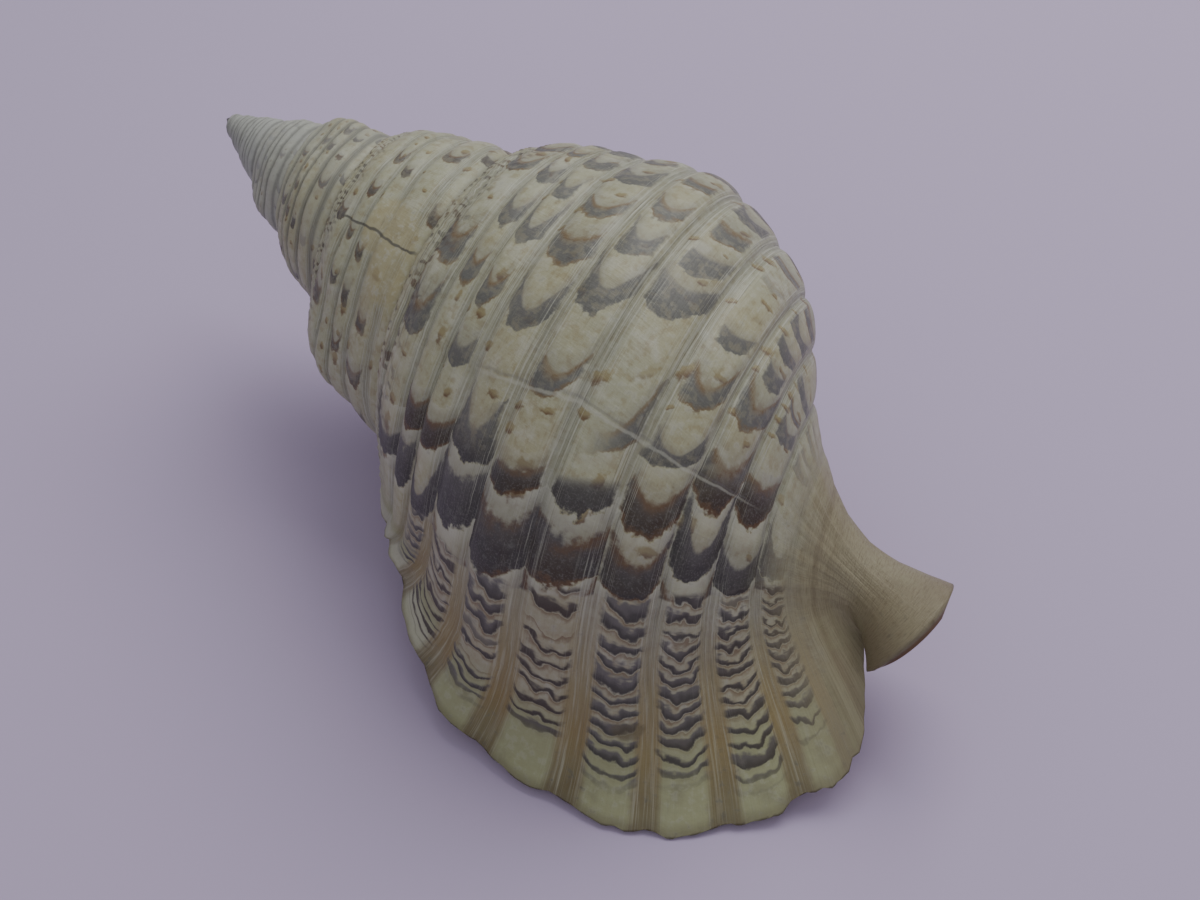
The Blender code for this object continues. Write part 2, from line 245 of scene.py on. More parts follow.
def plain(theta, v):
    """Radius, distance along the axis and azimuth of the outside without relief.

    Up to the seam the outline just grows with the angle. Past the seam it fades
    into the canal, which keeps its size and goes only part of the way round.
    """
    theta, v = np.broadcast_arrays(np.asarray(theta, float), np.asarray(v, float))
    outline, spread = along(OUTLINE, v), spread_lip(theta, v)
    settled = ease((v - SEAM) / (END - SEAM))
    earlier = np.minimum(theta + TURN, 0.0)
    latest = np.maximum(theta, -TURN)
    power = (latest * (1.0 - settled) + earlier) / TURN
    radius = GROWTH ** (power * (1.0 + SLIMMING)) * outline[..., 0] + spread[..., 0]
    radius = radius + old_lips(theta, v)
    axial = GROWTH ** power * outline[..., 1] + spread[..., 1]
    azimuth = LIP_AZIMUTH + latest * (1.0 - SLIT_SHARE * settled) + earlier
    azimuth = azimuth + np.exp(theta / FLARE_ANGLE) * along(LIP_SWEEP, v)[..., 0]
    slant = CANAL_SLANT * ease((v - JOINT) / (END - JOINT))
    return radius, axial + slant * radius * np.cos(azimuth), azimuth


def outward(theta, v):
    """Direction out of the wall in the half plane, as (radial, axial)."""
    step = 0.04
    low, high = np.clip(v - step, 0.0, END), np.clip(v + step, 0.0, END)
    r0, a0, _ = plain(theta, low)
    r1, a1, _ = plain(theta, high)
    dr, da = r1 - r0, a1 - a0
    length = np.hypot(dr, da)
    return da / length, -dr / length


def cords(theta, v):
    """Height of the broad cords: flat tops, with the grooves between them cut narrow; fine
    threads take their place on the neck."""
    across = cord_number(v) % 1.0 - 0.5
    top = 1.0 - np.abs(2.0 * across) ** 3.5
    spire = ease((SEAM - v) / 0.5)
    opened = ease(theta + TURN)
    keep = ease(v / 0.4) * (spire + (1.0 - spire) * opened)
    neck = 1.0 - ease((v - 5.2) / 1.6)
    thread = THREAD_HEIGHT * top * ease((v - 5.6) / 0.8) * ease((END - v) / 0.6) * opened
    flat = 1.0 - CORD_FLATTER * np.exp(theta / CORD_FLAT_ANGLE)
    return CORD_HEIGHT * size_at(theta) ** CORD_POWER * top * keep * neck * flat + thread


def beads(theta, v):
    """Rows of small grains under the seam, a bump to each bead angle."""
    row = cord_number(v) / BEAD_ROW
    zone = ease((v - 0.35) / 0.25) * ease((1.55 - v) / 0.3)
    shift = 0.5 * (np.floor(row) % 2)
    grain = np.sin(math.pi * (theta / BEAD_ANGLE + shift)) ** 2 * np.sin(math.pi * row) ** 2
    return BEAD_HEIGHT * size_at(theta) * grain * zone


def fine_relief(theta, v):
    """Growth folds, the healed break, lumps and beads, all together, mostly inwards."""
    grown = theta - along(SCAR[:, None], v)[..., 0]
    folds = ripple((grown, v), (38.0, 0.6), 3) * (0.6 + 0.4 * ripple((theta, v), (3.0, 1.5), 5))
    body = ease((theta + 2.6) / 0.5) * ease((v - 1.2) / 1.0) * ease((6.2 - v) / 0.8)
    step = -SCAR_STEP * ease(0.5 + grown / 0.03) * np.exp(-np.clip(grown, 0.0, 9.0) / 0.16) * body
    lumps = LUMPS * (1.0 + 1.6 * ease((-6.0 - theta) / 1.0)) * ripple((theta, v), (5.0, 2.0), 11)
    quiet = ease((END - v) / 2.0) * ease(v / 0.3)
    return (beads(theta, v) + step
            + size_at(theta) * quiet * (GROWTH_FOLDS * (folds - 0.8) + lumps - LUMPS))


def lip_waves(theta, v):
    """Corrugation of the spread lip, shared by its two faces."""
    wave = -np.cos(TURN * cord_number(v))
    reach = ease((v - 1.2) / 1.6) * ease((6.6 - v) / 1.2)
    return 0.5 * LIP_CORD_HEIGHT * wave * reach * np.exp(theta / FLARE_ANGLE)


def chipped(theta, v):
    """The angle drawn back a little near the lip, so that its edge is uneven."""
    count = cord_number(v)
    back = 0.5 + 0.3 * ripple((count,), (3.0,), 21) + 0.25 * ripple((count,), (11.0,), 22)
    return theta - EDGE_CHIPS * np.clip(back, 0.0, 1.2) * np.exp(theta / 0.05) * ease(v / 0.5)


def at(radius, axial, azimuth):
    """Point from radius, distance along the axis and azimuth."""
    return np.stack([axial, -radius * np.sin(azimuth), radius * np.cos(azimuth)], axis=-1)


def outside(theta, v):
    """Point on the outer skin: the plain outline, moved out by all the relief."""
    theta, v = np.broadcast_arrays(np.asarray(theta, float), np.asarray(v, float))
    theta = chipped(theta, v)
    radius, axial, azimuth = plain(theta, v)
    out_r, out_a = outward(theta, v)
    height = cords(theta, v) + lip_waves(theta, v) + fine_relief(theta, v)
    return at(radius + height * out_r, axial + height * out_a, azimuth)


def teeth(theta, v):
    """Paired ridges on the inner edge of the lip, two in each groove, a cosine in the count."""
    across = np.abs(cord_number(v) % 1.0 - 0.5)
    pair = 0.5 - 0.5 * np.cos(TURN * (across - TOOTH_AT) / TOOTH_AT)
    pair = pair * ease((across - 0.24) / 0.06)
    reach = ease(-theta / 0.04) * ease((0.34 + theta) / 0.2)
    return TOOTH_HEIGHT * pair * reach * ease((v - 0.8) / 0.5) * ease((6.4 - v) / 0.6)


def inside(theta, v):
    """Point on the inner skin: the outer skin moved in by the wall and the teeth."""
    theta, v = np.broadcast_arrays(np.asarray(theta, float), np.asarray(v, float))
    theta = chipped(theta, v)
    radius, axial, azimuth = plain(theta, v)
    out_r, out_a = outward(theta, v)
    fade = np.exp(theta / FLARE_ANGLE)
    wall = (WALL + (LIP_WALL - WALL) * fade) * size_at(theta) ** WALL_POWER
    depth = lip_waves(theta, v) - (wall + teeth(theta, v)) * ease(v / 0.5)
    return at(radius + depth * out_r, axial + depth * out_a, azimuth)


def parietal(theta, v):
    """The turn before, as the hollow's inner wall, with low folds towards the mouth."""
    fold = PARIETAL_FOLDS * np.cos(TURN * 2.2 * cord_number(v)) * np.exp(theta / 0.7)
    fold = fold * ease(-theta / 0.1) * ease((v - SEAM) / 0.4) * ease((JOINT - v) / 0.3)
    base = outside(theta - TURN, v)
    away = base * [0.0, 1.0, 1.0]
    away = away / np.linalg.norm(away, axis=-1, keepdims=True)
    return base + away * fold[..., None]


def corner_v(theta):
    """Outline place where the hollow meets the turn before it, just under the seam."""
    return SEAM + CORNER * ease(-theta / 0.35)


def gutter(theta, v):
    """Far side of the open canal: from its free edge round to its floor, bowed outwards."""
    edge = outside(-TURN, v)
    floor = inside(-GUTTER_ANGLE, v)
    share = np.clip(-np.asarray(theta) / GUTTER_ANGLE, 0.0, 1.0)
    side = at(1.0, 0.0, LIP_AZIMUTH + GUTTER_ANGLE)
    bow = GUTTER_DEPTH * 4.0 * share * (1.0 - share) * ease((v - JOINT) / 1.2)
    return edge + (floor - edge) * share[..., None] + side * bow[..., None]


def pillar(theta, t):
    """The central pillar: a line from the turn before to the foot of this turn, pulled in
    to a waist by a parabola in t."""
    joint = np.full_like(theta, JOINT)
    start = outside(theta - TURN, joint)
    foot = np.where(theta[..., None] > -GUTTER_ANGLE, gutter(theta, joint), inside(theta, joint))
    t = t[..., None]
    line = start + (foot - start) * t
    pull = np.array([0.0, 1.0, 1.0]) * 4.0 * t * (1.0 - t)
    reach = np.linalg.norm(line * [0.0, 1.0, 1.0], axis=-1, keepdims=True)
    opened = ease(-theta / 0.8)[..., None]
    waist = PILLAR_WAIST * size_at(theta)[..., None]
    folds = PILLAR_FOLDS * np.sin(TURN * 7.0 * t + 4.0 * theta[..., None]) * pull * opened
    narrowed = line * pull * opened * np.clip(1.0 - waist / reach, 0.0, 1.0)
    return line - narrowed - line / reach * folds


def band_number(theta, v):
    """Bands of markings counted towards the lip: whole on each band, evenly between them."""
    lines = [along(band[:, None], np.clip(v, 0.0, END))[..., 0] for band in BANDS]
    total = np.minimum(theta - lines[0], 0.0) / BAND_SPACING
    for first, second in zip(lines, lines[1:]):
        total = total + np.clip((theta - first) / (second - first), 0.0, 1.0)
    return total + np.maximum(theta - lines[-1], 0.0) / (BAND_SPACING * 0.7)


class Skin:
    """Grids of points with their maps, and the faces between them."""

    def __init__(self):
        self.points, self.place, self.marks, self.bake = [], [], [], []
        self.inner, self.healed = [], []
        self.quads, self.triangles = [], []
        self.count = 0

    def grid(self, points, theta, v, bake_box, inner=0.0):
        """Add a grid of points and its faces; return the numbers of its points."""
        shape = points.shape[:2]
        theta, v = np.broadcast_to(theta, shape), np.broadcast_to(v, shape)
        number = self.count + np.arange(points.size // 3).reshape(shape)
        self.count += number.size
        low_x, low_y, high_x, high_y = bake_box
        x = np.linspace(low_x, high_x, shape[0])[:, None] + np.zeros(shape)
        y = np.linspace(low_y, high_y, shape[1])[None, :] + np.zeros(shape)
        self.points.append(points.reshape(-1, 3))
        self.place.append(np.stack([theta, v], -1).reshape(-1, 2))
        self.marks.append(np.stack([band_number(theta, v), cord_number(v)], -1).reshape(-1, 2))
        self.bake.append(np.stack([x, y], -1).reshape(-1, 2))
        self.inner.append(np.broadcast_to(inner, shape).ravel())
        self.healed.append((theta - along(SCAR[:, None], v)[..., 0]).ravel())
        corners = (number[:-1, :-1], number[1:, :-1], number[1:, 1:], number[:-1, 1:])
        self.quads.append(np.stack(corners, -1).reshape(-1, 4))
        return number

    def zip(self, first, second, at_first, at_second):
        """Triangles between two rows whose points may differ in number: each step along
        either row, in the order of their spacing, gives one."""
        label = np.concatenate([np.zeros(len(first) - 1, int), np.ones(len(second) - 1, int)])
        order = np.argsort(np.concatenate([at_first[1:], at_second[1:]]), kind="stable")
        label = label[order]
        i = np.cumsum(label == 0) - (label == 0)
        j = np.cumsum(label == 1) - (label == 1)
        third = np.where(label == 0, first[np.minimum(i + 1, len(first) - 1)],
                         second[np.minimum(j + 1, len(second) - 1)])
        self.triangles.append(np.stack([first[i], third, second[j]], -1))

    def fan(self, loop, point):
        """Triangles from a closed row of points to one point."""
        self.triangles.append(np.stack([loop, np.roll(loop, -1), np.full_like(loop, point)], -1))


def spread(first, last, columns):
    """Outline places between two others, evenly spaced across the cords."""
    fine = np.linspace(first, last, 600)
    count = cord_number(fine)
    return np.interp(np.linspace(count[0], count[-1], columns + 1), count, fine)


def turn_rows():
    """Angles back from the lip over one turn, closer together at its start."""
    return np.sort(np.concatenate([np.arange(ROWS) * TURN / ROWS, FINE_ROWS, [TURN]]))


def outside_grids(skin):
    """The last turn with its canal, the turns of the spire and the worn tip."""
    back = -turn_rows()[:, None]
    upper, middle, lower = (spread(a, b, n) for a, b, n in
                            zip((0.0, SEAM, JOINT), (SEAM, JOINT, END), BODY_COLUMNS))
    v = np.concatenate([upper, middle[1:], lower[1:]])
    body = skin.grid(outside(back, v[None]), back, v, BAKE_BODY)
    last_row, last_v = body[-1][v <= SEAM], v[v <= SEAM]
    for turn, (columns, bake_box) in enumerate(zip(SPIRE_COLUMNS, BAKE_SPIRE), start=1):
        rows = back - TURN * turn
        rows = rows[rows[:, 0] >= -TURN * TURNS - 1e-9]
        v_turn = np.linspace(0.0, SEAM, columns + 1)
        grid = skin.grid(outside(rows, v_turn[None]), rows, v_turn, bake_box)
        skin.zip(last_row, grid[0], last_v, v_turn)
        last_row, last_v = grid[-1], v_turn
    tip_rows = -np.arange(0, ROWS + 1) * TURN / ROWS + rows[-1, 0] + TURN
    return body, v, last_row, tip_rows


def mesh_from(skin, name):
    """One mesh of all the grids, welded where points coincide, with its maps on the corners."""
    points = np.concatenate(skin.points)
    quads, triangles = np.concatenate(skin.quads), np.concatenate(skin.triangles)
    corners = np.concatenate([quads.ravel(), triangles.ravel()])
    starts = np.concatenate([np.arange(len(quads)) * 4, quads.size + np.arange(len(triangles)) * 3])
    mesh = bpy.data.meshes.new(name)
    mesh.vertices.add(len(points))
    mesh.vertices.foreach_set("co", points.ravel().astype(np.float32))
    mesh.loops.add(len(corners))
    mesh.loops.foreach_set("vertex_index", corners.astype(np.int32))
    mesh.polygons.add(len(starts))
    mesh.polygons.foreach_set("loop_start", starts.astype(np.int32))
    mesh.update(calc_edges=True)
    for map_name, values in (("OFBake", skin.bake), ("place", skin.place), ("marks", skin.marks)):
        layer = mesh.uv_layers.new(name=map_name)
        layer.data.foreach_set("uv", np.concatenate(values)[corners].ravel().astype(np.float32))
    for map_name, values in (("inner", skin.inner), ("healed", skin.healed)):
        layer = mesh.attributes.new(map_name, "FLOAT", "CORNER")
        layer.data.foreach_set("value", np.concatenate(values)[corners].astype(np.float32))
    work = bmesh.new()
    work.from_mesh(mesh)
    bmesh.ops.remove_doubles(work, verts=work.verts, dist=WELD)
    bmesh.ops.dissolve_degenerate(work, edges=work.edges, dist=WELD)
    bmesh.ops.recalc_face_normals(work, faces=work.faces)
    open_edges = sum(not edge.is_manifold for edge in work.edges)
    print("shell:", len(work.faces), "faces,", open_edges, "open edges")
    work.to_mesh(mesh)
    work.free()
    mesh.shade_smooth()
    return mesh


def hollow_rows():
    """Angles of the hollow's rows back from the lip: close at the teeth, wider further in."""
    near = np.linspace(0.0, TEETH_ANGLE, TEETH_ROWS)
    far = np.linspace(TEETH_ANGLE, TURN, NEAR_ROWS)[1:]
    deep = np.linspace(TURN, TURN * HOLLOW_TURNS, DEEP_ROWS)[1:]
    rows = np.concatenate([near, far, deep])
    nearest = np.argmin(np.abs(rows - GUTTER_ANGLE))
    rows[nearest] = GUTTER_ANGLE
    return -rows[:, None]


def inside_grids(skin, body, v_body):
    """The hollow, the canal and the rim that joins them to the outside."""
    rows = hollow_rows()
    ends = rows[-1] - np.array([[0.2], [0.4], [0.6]])
    share = np.concatenate([np.zeros_like(rows), [[0.35], [0.75], [1.0]]])[..., None]
    rows_all = np.concatenate([rows, ends])
    v_outer = spread(0.0, JOINT, INNER_COLUMNS)
    v_outer = v_outer[(v_outer == 0.0) | (v_outer > 0.3)]
    outer = inside(rows_all, v_outer[None])
    meet = corner_v(rows_all)
    outer[:, :1] = outside(rows_all - TURN, meet)
    t_wall = np.linspace(0.0, 1.0, PARIETAL_COLUMNS + 1)[None]
    v_wall = meet + (JOINT - meet) * t_wall
    wall = parietal(*np.broadcast_arrays(rows_all, v_wall))
    t_core = np.linspace(0.0, 1.0, PILLAR_COLUMNS + 1)[None]
    core = pillar(*np.broadcast_arrays(rows_all, t_core))
    far, back = np.array([[HOLLOW_FAR]]), np.array([[HOLLOW_BACK]])
    centre = 0.5 * (inside(rows_all, far) + outside(rows_all - TURN, back))
    outer, wall, core = (p + (centre - p) * share for p in (outer, wall, core))
    skin.grid(outer, rows_all, v_outer, BAKE_HOLLOW, 1.0)
    wall_grid = skin.grid(wall, rows_all, v_wall, BAKE_PARIETAL, 2.0)
    skin.grid(core, rows_all, JOINT, BAKE_PILLAR, 3.0)
    v_canal = spread(JOINT, END, BODY_COLUMNS[2])[None]
    canal = rows[rows[:, 0] >= -GUTTER_ANGLE - 1e-9]
    floor = skin.grid(inside(canal, v_canal), canal, v_canal, BAKE_CANAL, 1.0)
    side = skin.grid(gutter(*np.broadcast_arrays(canal, v_canal)), canal, v_canal, BAKE_GUTTER, 1.0)
    # The turn before meets the last turn's first row along the middle stretch.
    middle = (v_body >= SEAM) & (v_body <= JOINT)
    skin.zip(body[-1][middle], wall_grid[0], v_body[middle], v_wall[0])
    # Rim of the lip: flat, from the outer skin's edge across to the inner skin's.
    v_rim = np.concatenate([v_outer, v_canal[0, 1:]])
    outer_edge = outside(np.zeros((1, 1)), v_rim[None])
    inner_edge = np.concatenate([outer[:1], inside(np.zeros((1, 1)), v_canal[:, 1:])], axis=1)
    across = np.cos(np.linspace(0.0, math.pi, RIM_ROWS))[:, None, None]
    middle_edge = 0.5 * (outer_edge + inner_edge)
    half = 0.5 * (outer_edge - inner_edge)
    edge = middle_edge + half * across
    rim = skin.grid(edge, 0.0, v_rim, BAKE_RIM, np.linspace(0.0, 1.0, RIM_ROWS)[:, None])
    skin.zip(body[0], rim[0], v_body, v_rim)
    # Ring round the end of the canal.
    ring = body[:, -1]
    bore = np.concatenate([floor[:, -1], side[-2::-1, -1]])
    skin.zip(ring, bore, np.linspace(0.0, 1.0, len(ring)), np.linspace(0.0, 1.0, len(bore)))


def bend(points):
    """Curve the canal up and aside, by the square of how far along it a point lies."""
    share = np.clip((points[:, 0] / OUTLINE[-1, 1] - BEND_START) / (1.0 - BEND_START), 0.0, 2.0)
    return points + np.outer(share**2, [0.0, CANAL_SIDE, CANAL_RISE])


def lying():
    """Turn from the shell's own frame to the attitude that it lies in."""
    return np.array(Matrix.Rotation(REST_PITCH, 3, "Y") @ Matrix.Rotation(REST_ROLL, 3, "X"))


def build_shell():
    """The whole skin, laid down and fitted to the box of the solid that it stands for."""
    skin = Skin()
    body, v_body, tip_row, tip_rows = outside_grids(skin)
    inside_grids(skin, body, v_body)
    tip_points = outside(tip_rows[1:-1, None], np.zeros((1, 1)))
    seam = skin.grid(tip_points, tip_rows[1:-1, None], 0.0, BAKE_SEAM)[:, 0]
    nub = outside(tip_rows[-1:, None], np.zeros((1, 1)))
    nub = nub * [1.0, 0.0, 0.0] - [TIP_LENGTH, 0.0, 0.0]
    point = skin.grid(nub, tip_rows[-1], 0.0, BAKE_NUB)[0, 0]
    skin.fan(np.concatenate([tip_row[::-1], seam[::-1]]), point)
    points = bend(np.concatenate(skin.points)) @ lying().T
    low, high = points.min(axis=0), points.max(axis=0)
    box_low, box_high = (np.array(corner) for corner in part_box("shell"))
    stretch = (box_high - box_low) / (high - low)
    shift = box_low - low * stretch
    skin.points = [points * stretch + shift]
    shell = bpy.data.objects.new("shell_skin", mesh_from(skin, "shell_skin"))
    bpy.context.scene.collection.objects.link(shell)
    return shell, stretch, shift


class Flow:
    """A value or colour on its way through the nodes of one material."""

    def __init__(self, tree, socket):
        self.tree, self.socket = tree, socket

    def node(self, kind, settings=None, inputs=None, output=0):
        """Add a node of this type, with its settings and what its sockets get."""
        made = self.tree.nodes.new(kind)
        for name, value in (settings or {}).items():
            setattr(made, name, value)
        for key, value in (inputs or {}).items():
            if isinstance(value, Flow):
                self.tree.links.new(value.socket, made.inputs[key])
            else:
                made.inputs[key].default_value = value
        return Flow(self.tree, made.outputs[output])

    def math(self, operation, *values):
        """A Math node on these values."""
        return self.node("ShaderNodeMath", {"operation": operation}, dict(enumerate(values)))

    def __add__(self, other):
        return self.math("ADD", self, other)

    def __radd__(self, other):
        return self.math("ADD", other, self)

    def __sub__(self, other):
        return self.math("SUBTRACT", self, other)

    def __rsub__(self, other):
        return self.math("SUBTRACT", other, self)

    def __mul__(self, other):
        return self.math("MULTIPLY", self, other)

    def __rmul__(self, other):
        return self.math("MULTIPLY", other, self)

    def __truediv__(self, other):
        return self.math("DIVIDE", self, other)

    def __pow__(self, other):
        return self.math("POWER", self, other)

    def __abs__(self):
        return self.math("ABSOLUTE", self)

    def floor(self):
        """Whole part."""
        return self.math("FLOOR", self)

    def fract(self):
        """What is left past the whole part."""
        return self.math("FRACT", self)

    def cosine(self):
        """Cosine of an angle."""
        return self.math("COSINE", self)

    def rise(self, low, high):
        """0 below low, 1 above high, smooth between; falls if low is above high."""
        return self.node("ShaderNodeMapRange", {"interpolation_type": "SMOOTHSTEP"},
                         {"Value": self, "From Min": low, "From Max": high})

    def most(self, other):
        """The larger of the two."""
        return self.math("MAXIMUM", self, other)

    def split(self):
        """The parts of a vector."""
        made = self.tree.nodes.new("ShaderNodeSeparateXYZ")
        self.tree.links.new(self.socket, made.inputs[0])
        return [Flow(self.tree, made.outputs[k]) for k in range(3)]

    def join(self, x, y, z=0.0):
        """A vector of three values."""
        return self.node("ShaderNodeCombineXYZ", None, {0: x, 1: y, 2: z})

    def tinted(self, amount, colour):
        """This colour, mixed by the amount with another."""
        if not isinstance(colour, Flow):
            colour = (*colour, 1.0)
        return self.node("ShaderNodeMix", {"data_type": "RGBA"}, {0: amount, 6: self, 7: colour}, 2)

    def noise(self, scale, detail=3.0, roughness=0.5, distortion=0.0):
        """Soft noise of about 0 to 1 at this vector."""
        return self.node("ShaderNodeTexNoise", None, {
            "Vector": self, "Scale": scale, "Detail": detail, "Roughness": roughness,
            "Distortion": distortion})

    def chance(self, x, y, z=0.0):
        """Three chance values that are the same all over one cell."""
        spot = self.join(x, y, z)
        made = self.node("ShaderNodeTexWhiteNoise", {"noise_dimensions": "3D"}, {"Vector": spot}, 1)
        return made.split()


CREAM = (0.385, 0.385, 0.265)
WARM_CREAM = (0.390, 0.345, 0.190)
GREEN_CREAM = (0.310, 0.325, 0.175)
MILK = (0.52, 0.52, 0.43)
STONE_GREY = (0.150, 0.155, 0.140)
LILAC_CREAM = (0.300, 0.262, 0.225)
CHARCOAL = (0.036, 0.031, 0.033)
DARK_BROWN = (0.038, 0.019, 0.010)
PURPLE_GREY = (0.160, 0.148, 0.145)
RUST = (0.125, 0.058, 0.017)
OCHRE = (0.225, 0.142, 0.038)
PALE_OCHRE = (0.270, 0.218, 0.098)
OLIVE = (0.115, 0.092, 0.045)
TIP_GREY = (0.42, 0.43, 0.41)
SOOT = (0.085, 0.080, 0.065)
CANAL_CREAM = (0.290, 0.255, 0.165)
CANAL_BROWN = (0.120, 0.078, 0.038)
SALMON = (0.60, 0.34, 0.18)
PORCELAIN = (0.64, 0.55, 0.42)
LIP_BROWN = (0.085, 0.036, 0.018)


class Maps:
    """The maps and noises that all the markings share."""

    def __init__(self, tree):
        self.base = Flow(tree, None)
        self.spot = self.base.node("ShaderNodeTexCoord", output=3)
        self.theta, self.v, _ = self.base.node("ShaderNodeUVMap", {"uv_map": "place"}).split()
        self.band, self.count, _ = self.base.node("ShaderNodeUVMap", {"uv_map": "marks"}).split()
        self.inner = self.base.node("ShaderNodeAttribute", {"attribute_name": "inner"}, output=2)
        self.healed = self.base.node("ShaderNodeAttribute", {"attribute_name": "healed"}, output=2)
        self.broad = self.spot.noise(20.0, 2.0)
        self.patch = self.spot.noise(85.0, 4.0, 0.55)
        self.small = self.spot.noise(330.0, 3.0, 0.6)
        self.grain = self.spot.noise(1500.0, 2.0, 0.6)
        stretched = self.base.join(self.theta * 4.0, self.count * 22.0)
        self.spiral = stretched.noise(1.0, 3.0, 0.6)
        self.growth = self.base.join(self.theta * 90.0, self.count * 1.1).noise(1.0, 3.0, 0.6)
        self.cord = self.count.floor()
        self.across = self.count.fract() - 0.5
        self.side = abs(self.across)
        self.bow = 1.0 - self.across * self.across * 4.0

    def colour(self, value):
        """A plain colour."""
        made = self.base.node("ShaderNodeRGB")
        made.socket.default_value = (*value, 1.0)
        return made


def ground_colour(m):
    """Cream, warmer and milkier in patches, mottled, greyer in the grooves as painted shade, faintly
    streaked.
    """
    ground = m.colour(CREAM)
    ground = ground.tinted(m.broad.rise(0.35, 0.7) * 0.5, WARM_CREAM)
    ground = ground.tinted(m.patch.rise(0.52, 0.70) * 0.5, MILK)
    ground = ground.tinted(m.small.rise(0.50, 0.34) * 0.30, OCHRE)
    ground = ground.tinted(m.small.rise(0.52, 0.68) * 0.40, MILK)
    ground = ground.tinted(m.spiral.rise(0.52, 0.85) * 0.30, OLIVE)
    ground = ground.tinted(m.growth.rise(0.58, 0.85) * 0.18, PURPLE_GREY)
    # painted shade: stone grey laid into the grooves between the cords
    return ground.tinted(m.side.rise(0.28, 0.46) * 0.38, STONE_GREY)


def blotches(m):
    """Marks on the cords: joined U shapes in the garlands by the lip, rounder ones behind.

    A mark lies behind each whole number of the lead, which is the band number drawn back at
    the cord's sides by a parabola. It ends where the value called back passes 1, and its halo
    where that passes 2.
    """
    near = m.band.rise(6.7, 7.6)
    spire = m.theta.rise(-5.9, -6.5)
    _, lag, _ = m.base.chance(m.cord, 3.0)
    wander = (m.patch - 0.5) * 0.50 + (m.small - 0.5) * 0.22
    lead = m.band + 0.38 - m.bow * (0.40 - near * 0.12) + (lag - 0.5) * (1.0 - near * 0.62) + wander
    row = lead.floor()
    depth = 1.0 - lead.fract()
    long, wide, kind = m.base.chance(m.cord, row, 1.0)
    there, armed, _ = m.base.chance(m.cord, row, 2.0)
    arms = armed.rise(0.35, 0.85) * 0.55 * (m.side * m.side * 9.0 - 0.5)
    thick = (0.34 + long * 0.34 + near * 0.06) * (1.0 - spire * 0.35) * (1.0 + arms)
    ragged = (m.small - 0.5) * 0.8 + (m.patch - 0.5) * 1.0
    back = depth / thick + ragged
    half = 0.27 + wide * 0.17 + near * 0.16 - spire * 0.08
    inside = (m.side + (m.small - 0.5) * 0.18 + (m.patch - 0.5) * 0.20 - half).rise(0.045, -0.04)
    exists = (there + near * 0.14 - spire * 0.38).rise(0.16, 0.19)
    low = m.v.rise(4.25, 4.55).most(abs(row - 6.0).rise(0.4, 0.6))
    shape = depth.rise(0.0, 0.05) * inside * exists * low
    solid = near.most(m.small.rise(0.36, 0.56) * 0.45 + 0.5)
    return {"mark": shape * back.rise(1.12, 0.90) * solid, "halo": shape * back.rise(2.0, 0.9),
            "depth": depth, "back": back, "kind": kind, "near": near, "spire": spire,
            "lead": lead}


def blotch_colour(m, b):
    """Charcoal to dark brown in the garlands, mottled stone grey behind, with rust rims."""
    browner = (b["kind"] + (m.patch - 0.5) * 1.2).rise(0.25, 0.8) * b["near"]
    colour = m.colour(CHARCOAL).tinted(browner.most(b["spire"]) * 0.9, DARK_BROWN)
    grey = (1.0 - b["near"]) * (1.0 - b["spire"] * 0.7)
    colour = colour.tinted(grey * (0.25 + 0.6 * m.patch), STONE_GREY)
    # painted highlight: pale grain speckles on the dark marks stand in for glints off the granular
    # surface
    colour = colour.tinted(m.grain.rise(0.50, 0.68) * 0.45, PURPLE_GREY)
    colour = colour.tinted(m.small.rise(0.55, 0.72) * 0.40, STONE_GREY)
    colour = colour.tinted(b["back"].rise(0.3, 1.0) * 0.35, PURPLE_GREY)
    rim = b["depth"].rise(0.13, 0.03).most(b["back"].rise(0.62, 0.98))
    rim = rim * (b["kind"] + m.patch * 1.4).rise(1.05, 1.35)
    return colour.tinted(rim * 0.85, m.colour(RUST).tinted(grey * 0.6, OCHRE))


def flecks(m, lead):
    """Small ragged ochre spots with a darker front, two cells to a cord."""
    count = m.count * 2.0 + 0.25 + (m.patch - 0.5) * 0.5
    across = count.fract() - 0.5
    ahead = m.band * 2.0 + m.broad * 1.5 + (m.patch - 0.5) * 0.8
    there, size, _ = m.base.chance(count.floor(), ahead.floor(), 7.0)
    x = across / (0.14 + size * 0.22)
    y = (ahead.fract() - 0.5) / (0.10 + size * 0.18)
    away = (x * x + y * y) ** 0.5 + (m.small - 0.5) * 1.8
    return away.rise(1.10, 0.55) * there.rise(0.62, 0.66), y.rise(-0.2, 0.7)


def crescents(m):
    """Wavy bars stacked on each cord behind the lip, closer together towards it: their lead
    is minus a root of the angle, with lobes from noise that runs on from bar to bar."""
    thickness, darkness, late = m.base.chance(m.cord, 11.0)
    root = (m.theta * -1.0).most(0.0) ** 0.5
    lobes = m.base.join(m.count * 3.6, m.theta * 9.0).noise(1.0, 1.0, 0.5)
    breaks = m.base.join(m.count * 3.0, m.theta * 26.0, 5.0).noise(1.0, 2.0, 0.6)
    lead = (root * -18.5 - m.bow * 0.75 + (lobes - 0.5) * 1.5 + (m.patch - 0.5) * 0.6
            + (m.small - 0.5) * 0.35 + thickness * 3.0)
    depth = 1.0 - lead.fract()
    thin, there, _ = m.base.chance(m.cord, lead.floor(), 5.0)
    width = 0.20 + thin * 0.34 + darkness * 0.30 + (breaks - 0.5) * 1.0
    bar = (depth.rise(0.0, 0.14) * (depth - width).rise(0.16, -0.12)
           * (m.side + (m.small - 0.5) * 0.16 + (m.patch - 0.5) * 0.10).rise(0.39, 0.29)
           * there.rise(0.05, 0.10))
    start = (m.band + (m.patch - 0.5) * 0.3).rise(8.86, 8.98)
    end = (m.theta - late * 0.10 + (m.small - 0.5) * 0.03).rise(-0.11, -0.18)
    zone = start * end * m.v.rise(2.5, 3.0) * m.v.rise(6.3, 5.9)
    return bar * zone, zone, depth, darkness


